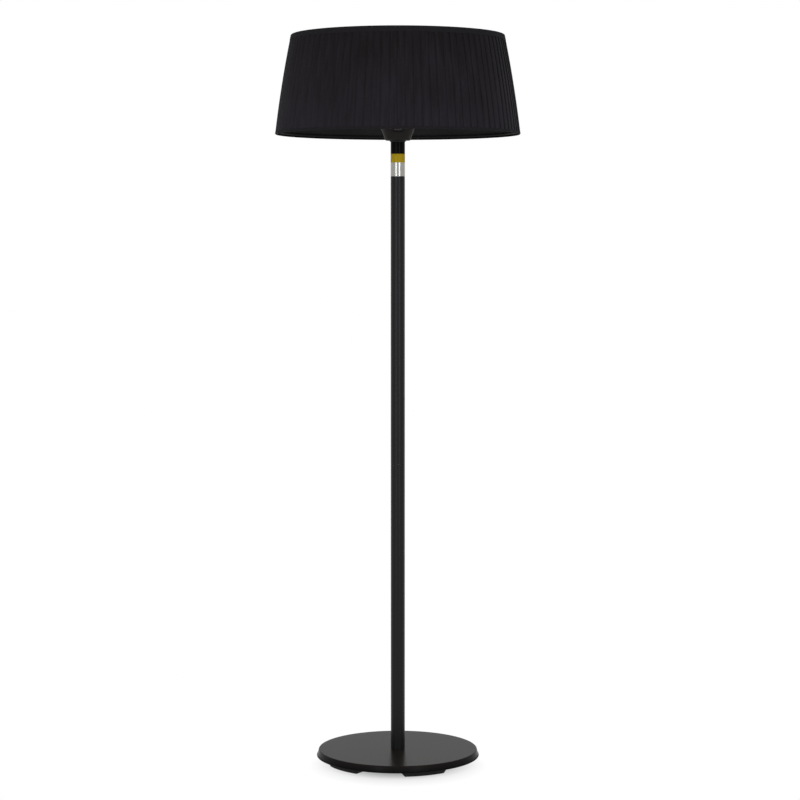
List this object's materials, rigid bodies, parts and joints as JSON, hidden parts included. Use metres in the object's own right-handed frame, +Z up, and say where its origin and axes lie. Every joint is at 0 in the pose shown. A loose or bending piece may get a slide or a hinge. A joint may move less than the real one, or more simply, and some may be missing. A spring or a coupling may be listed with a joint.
{
  "type": "free-standing infrared patio heater",
  "caption": "Tall free-standing electric infrared heater shaped like a floor lamp: round weighted base, slim pole and a pleated drum shade over lamps and a guard.",
  "frame": {"origin": "centre of the base on the floor, under the pole axis", "axes": "+Z up along the pole, -Y out of the front where the switch is, +X to the right seen from the front"},
  "size_m": [0.5994, 0.6004, 1.794],
  "materials": {
    "foot_rubber": "matt",
    "powder_coat": "fine-textured satin powder coat",
    "satin_black": "satin",
    "cast_iron": "raw casting",
    "zinc_steel": "bright zinc plate",
    "gland_rubber": "matt",
    "flex_sheath": "matt",
    "switch_plastic": "semi-gloss",
    "mirror_aluminium": "spun, mirror bright",
    "quartz": "ruby-coated quartz",
    "lamp_ceramic": "unglazed",
    "module_plastic": "matt",
    "shade_cloth": "pleated polyester",
    "shade_liner": "matt heat-proof film"
  },
  "bodies": {
    "heater": {"foot_pad_1": "foot_rubber", "foot_pad_2": "foot_rubber", "foot_pad_3": "foot_rubber", "foot_pad_4": "foot_rubber", "foot_pad_5": "foot_rubber", "base_tray": "satin_black", "ballast_disc": "cast_iron", "base_cover": "powder_coat", "threaded_nipple": "zinc_steel", "nipple_nut": "zinc_steel", "nipple_washer": "zinc_steel", "cord_gland": "gland_rubber", "pole_foot_plug": "zinc_steel", "pole_lower": "powder_coat", "pole_upper": "powder_coat", "pole_joiner_lower": "zinc_steel", "pole_joiner_upper": "zinc_steel", "head_stem": "powder_coat", "internal_flex": "flex_sheath", "collar_seal": "gland_rubber", "collar_housing": "satin_black", "switch_body": "switch_plastic", "reflector": "mirror_aluminium", "upper_housing": "powder_coat", "heat_lamp_1": "quartz", "lamp_cap_1_right": "lamp_ceramic", "lamp_cap_1_left": "lamp_ceramic", "heat_lamp_2": "quartz", "lamp_cap_2_right": "lamp_ceramic", "lamp_cap_2_left": "lamp_ceramic", "heat_lamp_3": "quartz", "lamp_cap_3_right": "lamp_ceramic", "lamp_cap_3_left": "lamp_ceramic", "lamp_bracket_1": "zinc_steel", "lamp_bracket_2": "zinc_steel", "lamp_bracket_3": "zinc_steel", "wire_guard": "zinc_steel", "guard_clip_1": "zinc_steel", "guard_clip_2": "zinc_steel", "guard_clip_3": "zinc_steel", "terminal_block": "module_plastic", "control_module": "module_plastic", "tilt_switch": "module_plastic", "thermal_cutout": "zinc_steel", "stem_plug": "zinc_steel", "shade_stud": "zinc_steel", "spider_hub": "satin_black", "spider_arm_1": "satin_black", "spider_arm_2": "satin_black", "spider_arm_3": "satin_black", "spider_arm_4": "satin_black", "finial_nut": "satin_black", "shade_top_ring": "satin_black", "shade_bottom_ring": "satin_black", "shade_liner": "shade_liner", "pleated_cover": "shade_cloth", "top_hem": "shade_cloth", "bottom_hem": "shade_cloth"},
    "rocker": {"switch_rocker": "switch_plastic"}
  },
  "joints": [
    {"name": "rocker_tilt", "type": "hinge", "parent": "heater", "child": "rocker", "pos_m": [0, -0.03894, 1.57288], "axis": [1, 0, 0], "range_deg": [0, 18]}
  ]
}
